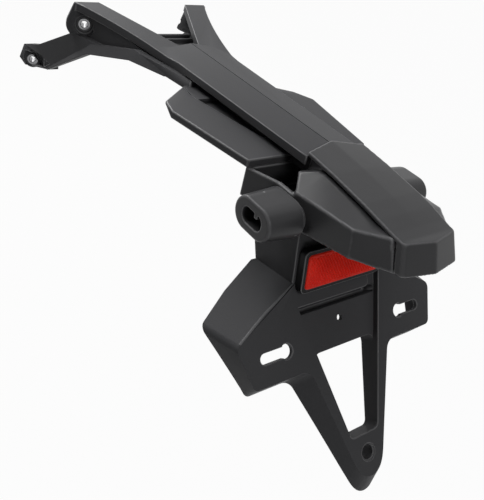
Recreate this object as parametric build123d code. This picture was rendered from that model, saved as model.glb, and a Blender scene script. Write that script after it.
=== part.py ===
from build123d import *
import os
from math import cos, radians, sin, tan

os.makedirs("parts", exist_ok=True)

# Tail tidy: number-plate carrier for a motorbike, moulded in dark plastic.
# Millimetres. X to the bike's right, Y forward, Z up, level with the beam.
# Origin: on the plate face, midway between the two plate slots.

# Plate bracket
plate_tilt = 38.0          # plate face from vertical, degrees
slot_spacing = 120.0       # between slot middles
slot_len = 25.0
slot_w = 7.0
key_d = 9.4                # round inner end of each keyhole slot
shoulder_w = 176.0         # widest point of the face
shoulder_up = 12.0         # height of that point above the slot line
neck_up = 40.0             # top of the face above the slot line
foot_w = 162.0             # width of the face at its lower edge
foot_drop = 17.0           # lower edge below the slot line
leg_top_half = 36.5        # leg's outer edge at the lower edge of the face
tip_r = 14.3               # round tip
tip_hole_drop = 85.4       # tip hole below the slot line
hole_d = 10.0
hole_sink_d = 12.4         # shallow ring round the tip hole
opening_top_half = 40.7    # tapering opening and recess, half width at the top
opening_top_up = 38.0
opening_foot_half = 12.6   # half width at the lower end
opening_drop = 72.0        # lower end below the slot line
opening_r = 4.5
recess_drop = 10.0         # lower edge of the recessed panel
recess_depth = 4.5
panel_t = 3.0
panel_hole_d = 4.5
panel_hole_up = 8.2
ledge_end = 28.6           # right end of the raised ledge under the reflector
ledge_up = 23.5            # its lower edge
ledge_sink = 0.6           # its face below the plate face
gap_w = 71.0               # dark slot between ledge and panel
gap_h = 5.6
gap_depth = 7.0            # pocket behind that slot, from the panel's back
face_t = 3.5
bracket_wall = 2.8
flange_depth = 34.0        # depth of the flanges at the neck
leg_depth = 16.5           # depth of the lower edge
tip_depth = 10.5           # depth of the tip
roof_rise = 0.53           # rise of the roof and the shoulders per mm of depth
side_flare = 0.24          # outward run of the shoulders per mm of depth
foot_lean = 0.17           # inward run of the lower corners per mm of depth
foot_fall = 0.40           # fall of the lower edge per mm of depth
leg_flare = 0.44           # outward run of the legs' tops per mm of depth
ankle_flare = 0.27         # outward run of the legs' lower ends per mm of depth
tip_flare = 1.25           # forward slope under the tip per mm of depth
leg_corner_r = 10.0        # inside corner of leg and lower edge
shoulder_r = 5.0
foot_r = 4.0

# Reflector on the neck
lens_w = 66.0
lens_h = 24.0
lens_t = 4.0
lens_proud = 0.8
housing_rim = 3.0
housing_t = 6.5
reflector_tilt = 11.0      # reflector from vertical, degrees
reflector_z = 40.4         # middle of the lens

# Tail body under the hood
body_low = 67.0            # underside
body_top = 87.5            # seat of the wings and the carrier
body_front = 79.0
body_front_half = 51.0
body_waist_y = 56.0        # the sides run straight past the stubs from here
body_waist_half = 42.0
body_stub_y = 38.0         # to here
body_mid_y = -5.5          # rear corners of the sides
body_mid_half = 38.5
body_rear_y = -22.0        # rear end at the top edge
body_rear_half = 24.0
body_crease = 90.3         # edge between side and panel, at the stubs
crease_step = 2.8          # the panel's foot lies at least this far below that edge
crease_mid_rise = 2.6      # rise of that edge at the rear corners
crease_rear_rise = 4.0     # and at the rear end
body_mid_lean = 0.22       # the corners run back by this much per mm of drop
body_rear_lean = 0.50      # and the rear end by this much
body_wall = 3.0
keel_y = 40.0              # the underside rises behind this place
keel_mid_rise = 8.2
keel_rear_rise = 11.2
neck_half = 38.0

# Indicator stubs
stub_end = 69.6            # outer end from the middle plane
stub_step = 43.5           # inner edge of the thick part
stub_draft = 2.0           # growth of the outline towards that edge
stub_root_inset = 2.5
stub_len_y = 34.0
stub_h = 21.5
stub_y = 42.3
stub_z = 75.4
stub_edge_r = 1.6
stub_hole_len = 18.5
stub_hole_w = 10.2
stub_hole_depth = 24.0
stub_tongue = 3.2          # anti-rotation tongue into the hole

# Beam, fork arms and upper bosses
ridge_z = 106.6            # centre crease
roof_slope = 0.15          # fall of the beam top per mm from the crease
beam_rear_half = 24.0
beam_root_half = 27.7      # where the arms leave the beam
beam_root_y = 205.0
arm_bend_half = 41.0
arm_bend_y = 260.0
arm_tip_y = 315.5
arm_tip_z = 111.0
arm_tip_out = 63.0         # outer and inner edge of the arm's end
arm_tip_in = 42.0
arm_rise = 0.0913          # rise of the arms' top per mm forward
crotch_y = 233.5
crotch_half = 11.0         # end of the round crotch
crotch_rise = 7.5
skirt = 5.5                # side band below the beam's top edge
cover_wall = 2.4
seam_y = 62.6              # joint of beam and hood on the crease
seam_sweep = 0.27          # the joint runs back by this much per mm sideways
groove_w = 0.6             # fine groove along the crease
groove_d = 0.6

# Mounting bosses and their metal collars
end_lean = 25.0            # end faces of arms and struts from vertical, degrees
mount_yaw = 25.0           # bolts point forward and inward, degrees
mount_rise = 3.0           # and a little up
collar_od = 10.3
collar_id = 5.5
collar_len = 10.0
collar_chamfer = 0.4
pocket_d = 16.4            # sunk ring round the upper collar
pocket_depth = 3.0
upper_boss_x = 54.0        # rear end of the upper collar
upper_boss_back = 1.2      # behind the arm's end
upper_boss_drop = 18.2     # below it
upper_boss_r = 11.5
upper_boss_out = 3.2       # its round end lies this much further out than the collar
upper_crest_in = 9.7       # root of the boss on the arm, inward and outward of the collar
upper_crest_out = 8.9
upper_boss_in = 9.5        # flat inner side, from the rear end of the collar
upper_boss_h = 26.5
lower_boss_x = 70.6        # rear end of the lower collar
lower_boss_back = 2.8      # behind the strut's top corner
lower_boss_drop = 14.2     # below it
lower_boss_r = 7.8
lower_pocket_d = 12.6      # sunk ring round the lower collar
upper_pocket_run = 60.0    # way in for the upper bolt
lower_pocket_run = 10.0    # and for the lower one
recess_in = 8.0            # scoop in the strut's side that opens the lower collar to view
rib_recess_in = 2.2        # three-cornered recess behind it

# Lower carrier and struts
carrier_half = 15.4
carrier_wall = 2.5
carrier_rear_y = 34.0
strut_root_y = 186.0
strut_root_x = 27.0        # outer face where the strut leaves the beam
strut_splay = 0.254        # outward run of the strut per mm forward
strut_t = 11.0
strut_wall = 3.0
strut_end_y = 387.5        # top corner of the strut's end
strut_end_z = 49.5
strut_end_h = 24.0
strut_flange = 4.5         # outward flange along the strut's lower edge
strut_flange_h = 8.5
# lower edge of the strut: back from its end, up from its foot
strut_under = [(35.3, 13.0), (91.0, 48.8), (141.0, 63.0)]
strut_under_back = 175.0   # the edge runs out here
strut_under_gap = 1.5      # this far above the seat
strut_head_gap = 1.0       # strut below the beam's edge
strut_bend_back = 12.0     # its top leaves the beam this far behind the arms' bend
strut_bend_run = 30.0      # and falls from there to this far ahead of it
strut_bend_fall = 12.5
# upper edge from there: back from the end, up from its top
strut_over = [(67.0, 34.5), (21.0, 6.8)]
# rounded foot of the end: ahead of the end, up from its foot
strut_toe = [(20.0, 12.0), (9.6, 10.6), (-1.9, 4.9)]
# scoop and three-cornered recess in the strut's side: back from the end, down from its top
scoop_outline = [(28.5, 2.7), (1.5, 5.3), (-0.5, 13.5), (1.5, 17.0), (28.5, 10.5)]
recess_outline = [(30.3, 3.4), (37.0, 4.7), (30.3, 9.7)]
web_front_y = 287.0        # web between the arms
web_front_half = 33.0
web_z = 95.0
web_t = 2.5
web_drop = 5.0             # depth of its trough
web_rib_back = 11.4        # second cross rib, behind the front one
web_rib_t = 1.6
strut_web_in = 6.0         # web between arm and strut, inside the outer face
strut_web_t = 3.0

# Wings
wing_z = 93.0
wing_wall = 2.4
wing_front_y = 149.0
wing_front_half = 64.3
wing_rear_y = 76.5
wing_rear_half = 51.4
wing_nose_y = 171.5        # inner end of the front edge
wing_nose_half = 36.0
wing_slot_y = 103.0        # where the slot beside the beam ends
wing_slot_half = 22.0
wing_lip_run = 18.0        # front lip: forward, inward and down from the shelf
wing_lip_in = 5.5
wing_lip_fall = 1.4
wing_floor_t = 2.0         # floor under the slot beside the beam
wing_floor_lap = 3.0       # the floor reaches this far under the shelf
wing_slot_cant = 3.0       # the slot's end slants back by this much

# Hood
cap_front_z = 107.3
cap_wall = 2.6
cap_band = 3.0             # side band of the cap
cap_half = 24.0
cap_rear_half = 22.4
cap_rear_y = -27.0
cap_rear_z = 95.2
cap_foot_z = 78.0
cap_foot_half = 24.6
cap_foot_back = 8.0        # the rear face runs back by this much at its foot
cap_bulge = 4.6            # rear face, middle behind its corners
cap_corner_r = 3.6
cap_crown = 1.4            # rise of the middle at the front
cap_side_run = 3.0         # side of the tail, forward of its corner
panel_front_y = 56.0       # side panels, front end before the slanting cut
panel_nose_half = 33.9
panel_nose_drop = 12.9     # front corner below the cap's edge
panel_shoulder_y = 43.0    # the panel has its full height behind this place
nose_foot_y = 40.0         # slanting front edge at the crease
nose_top_half = 30.0       # and at the top
nose_top_y = 53.5
panel_top_half = 25.5
panel_drop = 4.4           # top edge below the cap's edge
panel_wall = 3.0
tongue_half = 20.5         # tongue of each side panel inside the cap
tongue_t = 2.5

# Bolts that hold the bracket to the tail body
bolt_d = 6.0
bolt_head_d = 11.0
bolt_head_h = 3.6
bolt_x = 25.0
bolt_y_rear = 46.0         # clear of the rising floor behind it
bolt_y_front = 66.0
clear = 0.25               # clearance of a hole round a bolt
nut_w = 10.0               # across flats
nut_h = 5.0

tilt = radians(plate_tilt)
lean = radians(end_lean)
yaw = radians(mount_yaw)
rise = radians(mount_rise)
plate_plane = Plane((0, 0, 0), x_dir=(1, 0, 0), z_dir=(0, -cos(tilt), sin(tilt)))


def outline(points):
    return make_face(Polyline(*points, close=True))


def both_sides(half):
    return half + [(-x, y) for x, y in reversed(half) if x > 0]


def plan_prism(points, z0, z1):
    return extrude(Plane.XY.offset(z0) * outline(points), z1 - z0)


def side_prism(points, x0, x1):
    return extrude(Plane.YZ.offset(x0) * outline(points), x1 - x0)


def section(points, y):
    plane = Plane((0, y, 0), x_dir=(1, 0, 0), z_dir=(0, -1, 0))
    return plane * outline(points)


def plate_prism(face, depth0, depth1):
    return extrude(plate_plane.offset(-depth0) * face, depth0 - depth1)


def mirrored(shape):
    return mirror(shape, about=Plane.YZ)


# Plate bracket

def bracket_corners(depth):
    flare = side_flare * depth
    shoulder = (shoulder_w / 2 + flare, shoulder_up + roof_rise * depth)
    top = (neck_half - 1.5 + 0.7 * flare, neck_up + roof_rise * depth)
    brow = ((shoulder[0] + top[0]) / 2 + 1, (shoulder[1] + top[1]) / 2 + 1)
    foot = (foot_w / 2 - foot_lean * depth, -foot_drop - foot_fall * depth)
    return top, brow, shoulder, foot


def bracket_face(depth):
    top, brow, shoulder, foot = bracket_corners(depth)
    leg = (leg_top_half + leg_flare * depth, foot[1])
    ankle_x = tip_r + ankle_flare * depth
    ankle_up = -tip_hole_drop - 2.0 - 0.4 * tip_flare * depth
    toe = (0, -tip_hole_drop - 2.0 - tip_r - tip_flare * depth)
    slant = (leg[0] - ankle_x) / (leg[1] - ankle_up)
    reach = 0.55 * (ankle_up - toe[1])
    calf = (ankle_x - slant * reach, ankle_up - reach)
    sole = (0.55 * ankle_x, toe[1])
    side = Polyline((-top[0], top[1]), top, brow, shoulder, foot, leg, (ankle_x, ankle_up))
    tip = Bezier((ankle_x, ankle_up), calf, sole, toe)
    tip += mirrored(tip)
    other = Polyline((-top[0], top[1]), (-brow[0], brow[1]), (-shoulder[0], shoulder[1]),
                     (-foot[0], foot[1]), (-leg[0], leg[1]), (-ankle_x, ankle_up))
    return plate_plane.offset(-depth) * make_face(side + tip + other)


def round_corner(body, corner, radius):
    picked = []
    for edge in body.edges():
        place = plate_plane.to_local_coords(edge.center())
        start = plate_plane.to_local_coords(edge.position_at(0))
        run = plate_plane.to_local_coords(edge.position_at(1)) - start
        near = abs(abs(place.X) - corner[0]) < 1.5 and abs(place.Y - corner[1]) < 1.5
        if near and abs(run.Z) > 0.6 * flange_depth:
            picked.append(edge)
    return fillet(picked, radius) if picked else body


def cavity_face(depth):
    top, brow, shoulder, foot = bracket_corners(depth)
    wall = bracket_wall
    low = foot[1] + wall
    points = [
        (opening_top_half + wall, top[1] - 1.6 * wall),
        (brow[0] - 0.5 * wall, brow[1] - 1.4 * wall),
        (shoulder[0] - 1.4 * wall, shoulder[1] - 0.5 * wall),
        (foot[0] - wall, low),
        (opening_half(low) + wall, low),
    ]
    return plate_plane.offset(-depth) * outline(points)


def opening_half(up):
    share = (opening_top_up - up) / (opening_top_up + opening_drop)
    return opening_top_half + share * (opening_foot_half - opening_top_half)


def opening_face(up0, up1):
    points = both_sides([(opening_half(up0), up0), (opening_half(up1), up1)])
    return fillet(outline(points).vertices(), opening_r)


def keyhole():
    slot = SlotOverall(slot_len, slot_w)
    key_x = slot_len / 2 - key_d / 2
    return slot + Pos(-key_x, 0) * Circle(key_d / 2)


def neck_profile(inset):
    front_y = neck_up * sin(tilt)
    front_z = neck_up * cos(tilt)
    roof_up = neck_up + roof_rise * flange_depth
    back_y = roof_up * sin(tilt) + flange_depth * cos(tilt)
    back_z = roof_up * cos(tilt) - flange_depth * sin(tilt)
    lean = tan(radians(reflector_tilt))
    top_y = front_y + (body_low - front_z) * lean
    if inset == 0:
        return [
            (front_y, front_z),
            (top_y, body_low),
            (body_front, body_low),
            (body_front - 8, front_z + 12),
            (back_y, back_z),
        ]
    return [
        (front_y + 1.6 * inset, front_z - 6),
        (top_y + 1.2 * inset, body_low - inset),
        (body_front - inset, body_low - inset),
        (body_front - 8 - inset, front_z + 12),
        (back_y - inset, back_z - 25),
    ]


def reflector_plane():
    front_y = neck_up * sin(tilt)
    front_z = neck_up * cos(tilt)
    lean = tan(radians(reflector_tilt))
    seat_y = front_y + (reflector_z - front_z) * lean
    angle = radians(reflector_tilt)
    return Plane((0, seat_y, reflector_z), x_dir=(1, 0, 0), z_dir=(0, -cos(angle), sin(angle)))


def housing_block():
    face = RectangleRounded(lens_w + 2 * housing_rim, lens_h + 2 * housing_rim, 4.0)
    return extrude(reflector_plane() * face, housing_t)


def bolt_places():
    return [(sx * bolt_x, y) for sx in (-1, 1) for y in (bolt_y_rear, bolt_y_front)]


def make_plate_bracket():
    deep = flange_depth
    body = loft([bracket_face(0), bracket_face(deep)], ruled=True)
    _, _, shoulder, foot = bracket_corners(deep / 2)
    leg = (leg_top_half + leg_flare * deep / 2, foot[1])
    body = round_corner(body, shoulder, shoulder_r)
    body = round_corner(body, foot, foot_r)
    body = round_corner(body, leg, leg_corner_r)
    back_cut = [
        (neck_up + roof_rise * deep + 20, -deep - 4),
        (-foot_drop, -leg_depth),
        (-tip_hole_drop - tip_r, -tip_depth),
        (-220, -tip_depth),
        (-220, -120),
        (neck_up + roof_rise * deep + 20, -120),
    ]
    cut_plane = Plane((-200, 0, 0), x_dir=plate_plane.y_dir, z_dir=(1, 0, 0))
    body -= extrude(cut_plane * outline(back_cut), 400)
    neck = side_prism(neck_profile(0), -neck_half, neck_half)
    body += neck
    shoulder_hollow = loft([cavity_face(face_t), cavity_face(deep + 8)], ruled=True)
    body -= shoulder_hollow
    body -= mirrored(shoulder_hollow)
    ledge_len = ledge_end + opening_top_half
    ledge = RectangleRounded(ledge_len, 2 * (opening_top_up - ledge_up), opening_r)
    ledge = Pos(ledge_end - ledge_len / 2, opening_top_up) * ledge
    recess = plate_prism(opening_face(opening_top_up, -opening_drop), -1, recess_depth)
    body -= recess - plate_prism(ledge, ledge_sink, recess_depth)
    body -= plate_prism(opening_face(-recess_drop, -opening_drop), -1, deep + 20)
    behind = recess_depth + panel_t
    hollow = [
        (opening_half(opening_top_up) - 8, neck_up - 6),
        (opening_half(-recess_drop) - 2, -recess_drop + 3),
    ]
    hollow += [(-x, y) for x, y in reversed(hollow)]
    body -= plate_prism(outline(hollow), behind, deep + 30)
    body -= side_prism(neck_profile(bracket_wall), -neck_half + bracket_wall, neck_half - bracket_wall)
    gap = Pos(0, ledge_up - gap_h / 2)
    gap_back = behind + gap_depth
    shell = Rectangle(gap_w + 2 * bracket_wall, gap_h + 2 * bracket_wall)
    body += plate_prism(gap * shell, behind - 0.5, gap_back + bracket_wall)
    body -= plate_prism(gap * Rectangle(gap_w, gap_h), recess_depth - 0.1, gap_back)
    for side in (-1, 1):
        slot = keyhole() if side > 0 else mirror(keyhole(), about=Plane.YZ)
        body -= plate_prism(Pos(side * slot_spacing / 2, 0) * slot, -1, face_t + 1)
    tip = Pos(0, -tip_hole_drop)
    body -= plate_prism(tip * Circle(hole_d / 2), -1, deep)
    body -= plate_prism(tip * Circle(hole_sink_d / 2), -1, 1.0)
    body -= plate_prism(Pos(0, panel_hole_up) * Circle(panel_hole_d / 2), 0, behind + 1)
    body -= housing_block()
    for x, y in bolt_places():
        body -= Pos(x, y, body_low) * Cylinder(bolt_d / 2 + clear, 4 * bracket_wall)
    return body


def make_reflector_housing():
    face = RectangleRounded(lens_w, lens_h, 2.5)
    pocket = extrude(reflector_plane().offset(housing_t) * face, -(lens_t - lens_proud))
    return housing_block() - pocket


def make_reflector_lens():
    face = RectangleRounded(lens_w, lens_h, 2.5)
    seat = reflector_plane().offset(housing_t - lens_t + lens_proud)
    lens = extrude(seat * face, lens_t)
    front = lens.faces().sort_by(Axis.Y)[0]
    return fillet(front.edges(), 0.7)


# Tail body and indicator stubs

def body_stations(z=None):
    # the side's corners in plan at height z, or along the crease: y, half width, crease height
    rows = [
        (body_front, body_front_half, body_top, 0),
        (body_waist_y, body_waist_half, body_crease, 0),
        (body_stub_y, body_waist_half, body_crease, 0),
        (body_mid_y, body_mid_half, body_crease + crease_mid_rise, body_mid_lean),
        (body_rear_y, body_rear_half, body_crease + crease_rear_rise, body_rear_lean),
    ]
    stations = []
    for y, half, edge, slant in rows:
        back = 0 if z is None else slant * (edge - z)
        stations.append((y - back, half, edge))
    return stations


def body_side(y, z=None):
    stations = body_stations(z)
    for (y1, half1, edge1), (y0, half0, edge0) in zip(stations, stations[1:]):
        if y >= y0:
            share = (y - y0) / (y1 - y0)
            return half0 + (half1 - half0) * share, edge0 + (edge1 - edge0) * share
    return stations[-1][1:]


def body_plan(z, inset):
    front, waist, stub, mid, rear = body_stations(z)
    back = rear[0] - 10
    half = [
        (0, front[0] - inset),
        (front[1] - 1.3 * inset, front[0] - inset),
        (waist[1] - 1.1 * inset, waist[0]),
        (stub[1] - 1.1 * inset, stub[0]),
        (mid[1] - 1.1 * inset, mid[0]),
        (rear[1] - inset, rear[0]),
        (rear[1] - inset, back),
        (0, back),
    ]
    return Plane.XY.offset(z) * outline(both_sides(half))


def rear_cut(shift):
    high = body_crease + crease_rear_rise
    low = body_low - 5
    slant = (high - low) * body_rear_lean
    far = body_rear_y - 60
    points = [
        (body_rear_y + shift - 5 * body_rear_lean, high + 5),
        (body_rear_y + shift, high),
        (body_rear_y + shift - slant, low),
        (far, low),
        (far, high + 5),
    ]
    return side_prism(points, -body_front_half, body_front_half)


def under_cut(raise_by):
    far = body_rear_y - 40
    points = [
        (keel_y, body_low + raise_by),
        (body_mid_y - 4, body_low + keel_mid_rise + raise_by),
        (far, body_low + keel_rear_rise + raise_by),
        (far, body_low - 5),
        (keel_y, body_low - 5),
    ]
    return side_prism(points, -body_front_half, body_front_half)


def body_block():
    block = loft([body_plan(body_low, 0), body_plan(body_top, 0)], ruled=True)
    return block - under_cut(0) - rear_cut(0)


def cap_z(y):
    stations = cap_stations()
    for (y1, z1, _), (y0, z0, _) in zip(stations, stations[1:]):
        if y >= y0:
            return z0 + (z1 - z0) * (y - y0) / (y1 - y0)
    return cap_rear_z


def side_panel():
    stations = [(panel_front_y, panel_nose_half, panel_nose_drop)]
    stations.append((panel_shoulder_y, panel_top_half, panel_drop + 0.9))
    places = cap_stations()[1:-1] + body_stations()[2:] + body_stations(body_top)[3:]
    runs = [y for y, _, _ in places if y <= body_stub_y]
    runs.append(body_rear_y - 7)
    stations += [(y, panel_top_half, panel_drop) for y in sorted(runs, reverse=True)]
    wall = panel_wall
    low = min(body_top, body_crease - crease_step)
    faces = []
    for y, top_half, drop in stations:
        foot, _ = body_side(y, low)
        crest, edge = body_side(y)
        half = min(top_half, crest - 0.6)
        top = max(cap_z(y) - drop, edge + 0.3)
        under = max(cap_z(y) - cap_wall, top + 0.3)
        points = [
            (foot, low),
            (crest, edge),
            (half, top),
            (tongue_half, top),
            (tongue_half, under),
            (tongue_half - tongue_t, under),
            (tongue_half - tongue_t, top - wall),
            (min(half - 0.7 * wall, crest - wall - 0.4), top - wall),
            (min(foot, crest) - wall, min(edge - 0.8 * wall, top - wall - 0.4)),
            (foot - wall, low),
        ]
        faces.append(section(points, y))
    run = (nose_top_y - nose_foot_y) / (body_waist_half - nose_top_half)
    wide = body_waist_half + 6
    slim = nose_top_half - 6
    front = panel_front_y + 20
    nose = [(wide, nose_foot_y - 6 * run), (slim, nose_top_y + 6 * run), (slim, front), (wide, front)]
    return loft(faces, ruled=True) - rear_cut(0) - plan_prism(nose, low, ridge_z)


def make_tail_body():
    body = body_block()
    inner = loft([body_plan(body_low + body_wall, body_wall), body_plan(body_top + 1, body_wall)], ruled=True)
    inner -= under_cut(body_wall)
    inner -= rear_cut(body_wall)
    body -= inner
    rib = Box(2 * body_mid_half, body_wall, body_top - body_low - body_wall)
    body += Pos(0, carrier_rear_y + body_wall, (body_top + body_low + body_wall) / 2) * rib
    panel = side_panel()
    body = body + panel + mirrored(panel) - make_hood_cap()
    for x, y in bolt_places():
        body -= Pos(x, y, body_low) * Cylinder(bolt_d / 2 + clear, 4 * body_wall)
    return body


def make_bracket_bolt(x, y):
    seat = body_low + body_wall
    head = Pos(x, y, seat + bolt_head_h / 2) * Cylinder(bolt_head_d / 2, bolt_head_h)
    head = fillet(head.edges().group_by(Axis.Z)[-1], 1.4)
    socket = Plane((x, y, seat + bolt_head_h)) * RegularPolygon(2.3, 6)
    head -= extrude(socket, -2.2)
    length = body_wall + bracket_wall + nut_h + 1.5
    return head + Pos(x, y, seat - length / 2) * Cylinder(bolt_d / 2, length)


def make_bracket_nut(x, y):
    top = Plane((x, y, body_low - bracket_wall))
    nut = RegularPolygon(nut_w / 2, 6, major_radius=False) - Circle(bolt_d / 2)
    return extrude(top * nut, -nut_h)


def make_indicator_stub():
    middle = Plane((0, stub_y, stub_z), x_dir=(0, 1, 0), z_dir=(1, 0, 0))
    grow = 2 * stub_draft
    end = middle.offset(stub_end) * SlotOverall(stub_len_y, stub_h)
    step = middle.offset(stub_step) * SlotOverall(stub_len_y + grow, stub_h + grow)
    stub = loft([step, end], ruled=True)
    rims = stub.faces().sort_by(Axis.X)
    stub = fillet(rims[-1].edges() + rims[0].edges(), stub_edge_r)
    inset = 2 * stub_root_inset
    root = SlotOverall(stub_len_y + grow - inset, stub_h + grow - inset)
    stub += extrude(middle.offset(stub_step) * root, body_mid_half - stub_step)
    stub -= body_block()
    stub -= Pos(0, stub_y, body_low - stub_h / 2) * Box(2 * neck_half, 2 * stub_len_y, stub_h)
    stub -= side_panel()
    stub = max(stub.solids(), key=lambda solid: solid.volume)
    hole = SlotOverall(stub_hole_len, stub_hole_w)
    tongue = Pos(-stub_hole_len / 6, stub_hole_w / 2) * Rectangle(stub_tongue, 2 * stub_tongue)
    stub -= extrude(middle.offset(stub_end) * (hole - tongue), -stub_hole_depth)
    return stub


# Beam cover

def cover_plan(inset):
    ahead = 40
    fork_y = crotch_y + crotch_rise
    run = (arm_tip_in - crotch_half) / (arm_tip_y - fork_y)
    fork = (crotch_half + inset, fork_y)
    far = arm_tip_y + ahead
    tip = (arm_tip_out - inset, arm_tip_y)
    far_in = (arm_tip_in + inset + run * ahead, far)
    far_out = (tip[0] + run * ahead, far)
    bend = (arm_bend_half - inset, arm_bend_y)
    root = (beam_root_half - inset, beam_root_y)
    rear = (beam_rear_half - inset, seam_y)
    back = (rear[0], seam_y - 20)
    side = Polyline(fork, far_in, far_out, tip) + ThreePointArc(tip, bend, root)
    side += Polyline(root, rear, back, (0, back[1]))
    crotch = ThreePointArc(fork, (0, crotch_y - inset), (-fork[0], fork[1]))
    return make_face(side + mirrored(side) + crotch)


def roof_profile(drop, low):
    edge = 2 * beam_root_half
    peak = ridge_z - drop
    return [
        (0, peak),
        (edge, peak - roof_slope * edge),
        (edge, low),
        (-edge, low),
        (-edge, peak - roof_slope * edge),
    ]


def arm_profile(drop, low_drop):
    y0 = beam_root_y - 10
    y1 = arm_tip_y + 40
    z0 = arm_tip_z + arm_rise * (y0 - arm_tip_y)
    z1 = arm_tip_z + arm_rise * (y1 - arm_tip_y)
    return [(y0, z0 - drop), (y1, z1 - drop), (y1, z1 - low_drop), (y0, z0 - low_drop)]


def beam_low():
    return ridge_z - roof_slope * beam_root_half - skirt


def seam_wedge():
    back = cap_rear_y - 60
    reach = 2 * beam_root_half
    points = [(0, seam_y), (reach, seam_y - seam_sweep * reach), (reach, back), (-reach, back)]
    points.append((-reach, seam_y - seam_sweep * reach))
    return plan_prism(points, body_top - 20, ridge_z + 20)


def cover_solid(inset, drop, low, low_drop):
    plan = extrude(Plane.XY.offset(low - 40) * cover_plan(inset), ridge_z + 80 - low)
    roof = section(roof_profile(drop, low), seam_y - 25)
    beam = extrude(roof, -(crotch_y - seam_y + 25)) & plan
    arms = side_prism(arm_profile(drop, low_drop), -90, 90) & plan
    return beam + arms


def mount_axis_plane(x, y, z):
    axis = (-sin(yaw) * cos(rise), cos(yaw) * cos(rise), sin(rise))
    return Plane((x, y, z), x_dir=(cos(yaw), sin(yaw), 0), z_dir=axis)


def mount_places():
    upper = (upper_boss_x, arm_tip_y - upper_boss_back, arm_tip_z - upper_boss_drop)
    lower = (lower_boss_x, strut_end_y - lower_boss_back, strut_end_z - lower_boss_drop)
    return upper, lower


def end_cut(y, z):
    plane = Plane((0, y, z), x_dir=(1, 0, 0), z_dir=(0, cos(lean), sin(lean)))
    return extrude(plane * Rectangle(400, 400), 200)


def boss_bores(place, ring_d, run):
    plane = mount_axis_plane(*place)
    bore = extrude(plane * Circle(collar_od / 2), 3 * collar_len)
    pocket = extrude(plane * Circle(ring_d / 2), -run)
    return bore + pocket


def make_upper_boss(place):
    rim = mount_axis_plane(*place).offset(-pocket_depth)
    ring = Pos(upper_boss_out, 0) * Circle(upper_boss_r)
    crest = Line((-upper_crest_in, -upper_boss_drop), (upper_crest_out, -upper_boss_drop))
    boss = extrude(rim * make_hull([*ring.edges(), crest]), 4 * collar_len)
    boss &= side_prism(arm_profile(cover_wall / 2, upper_boss_h), place[0] - upper_boss_in, 90)
    return boss - end_cut(arm_tip_y, arm_tip_z) - boss_bores(place, pocket_d, upper_pocket_run)


def make_top_cover():
    low = beam_low()
    arm_skirt = skirt + 1.0
    cover = cover_solid(0, 0, low, arm_skirt)
    cover -= cover_solid(cover_wall, cover_wall, low - 5, arm_skirt + 5)
    cover -= end_cut(arm_tip_y, arm_tip_z)
    upper, _ = mount_places()
    boss = make_upper_boss(upper)
    cover = cover + boss + mirrored(boss)
    pocket = boss_bores(upper, pocket_d, upper_pocket_run) & side_prism(arm_profile(arm_skirt, 80), -90, 90)
    cover -= pocket + mirrored(pocket)
    groove_len = crotch_y - seam_y + 40
    cover -= Pos(0, (crotch_y + seam_y) / 2, ridge_z) * Box(groove_w, groove_len, 2 * groove_d)
    return cover - seam_wedge()


# Lower carrier with struts

def strut_lower_edge():
    end_y = strut_end_y
    foot_z = strut_end_z - strut_end_h
    edge = [(end_y - back, foot_z + up) for back, up in strut_under]
    return edge + [(end_y - strut_under_back, body_top + strut_under_gap)]


def strut_profile(inset, open_by=0):
    end_y = strut_end_y
    end_z = strut_end_z
    foot_z = end_z - strut_end_h
    head = beam_low() - inset
    upper = [
        (strut_root_y, head - strut_head_gap),
        (arm_bend_y - strut_bend_back, head - strut_head_gap),
        (arm_bend_y + strut_bend_run, head - strut_bend_fall),
    ]
    upper += [(end_y - back, end_z + up - inset) for back, up in strut_over]
    upper += [(end_y, end_z - inset), (end_y + strut_toe[0][0], end_z - inset)]
    upper += [(end_y + ahead, foot_z + up + inset) for ahead, up in strut_toe]
    lower = [(y, z + inset - open_by) for y, z in strut_lower_edge()]
    return upper + lower + [(strut_root_y, body_top + inset)]


def strut_flange_bar():
    faces = []
    edge = strut_lower_edge()
    for place, (y, z) in enumerate(edge):
        face_x = strut_root_x + strut_splay * (y - strut_root_y)
        inner = place in (1, 2)
        out = strut_flange if inner else 0.5
        high = strut_flange_h if inner else 2.0
        points = [
            (face_x - 2, z),
            (face_x + out, z),
            (face_x + out, z + 0.6),
            (face_x, z + high),
            (face_x - 2, z + high),
        ]
        faces.append(section(points, y))
    return loft(list(reversed(faces)), ruled=True)


def strut_plan(wall, reach):
    run = strut_end_y + 25 - strut_root_y
    spread = strut_splay * run
    return [
        (strut_root_x - wall, strut_root_y),
        (strut_root_x - wall + spread, strut_root_y + run),
        (strut_root_x + spread - reach, strut_root_y + run),
        (strut_root_x + strut_splay * 20 - reach, strut_root_y + 20),
        (carrier_half - 1, strut_root_y + 20),
        (carrier_half - 1, strut_root_y),
    ]


def strut_band(near, deep):
    # plan of a layer of the strut between two depths from its outer face
    run = strut_end_y + 25 - strut_root_y
    spread = strut_splay * run
    return [
        (strut_root_x - near, strut_root_y),
        (strut_root_x - near + spread, strut_root_y + run),
        (strut_root_x - deep + spread, strut_root_y + run),
        (strut_root_x - deep, strut_root_y),
    ]


def end_recess(place):
    end_y = strut_end_y
    end_z = strut_end_z
    scoop = [(end_y - back, end_z - down) for back, down in scoop_outline]
    cut = plan_prism(strut_band(-20, recess_in), 0, ridge_z) & side_prism(scoop, 0, 120)
    cut &= extrude(mount_axis_plane(*place) * Rectangle(200, 200), -60)
    corner = [(end_y - back, end_z - down) for back, down in recess_outline]
    cut += plan_prism(strut_band(-20, rib_recess_in), 0, ridge_z) & side_prism(corner, 0, 120)
    return cut


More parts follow.
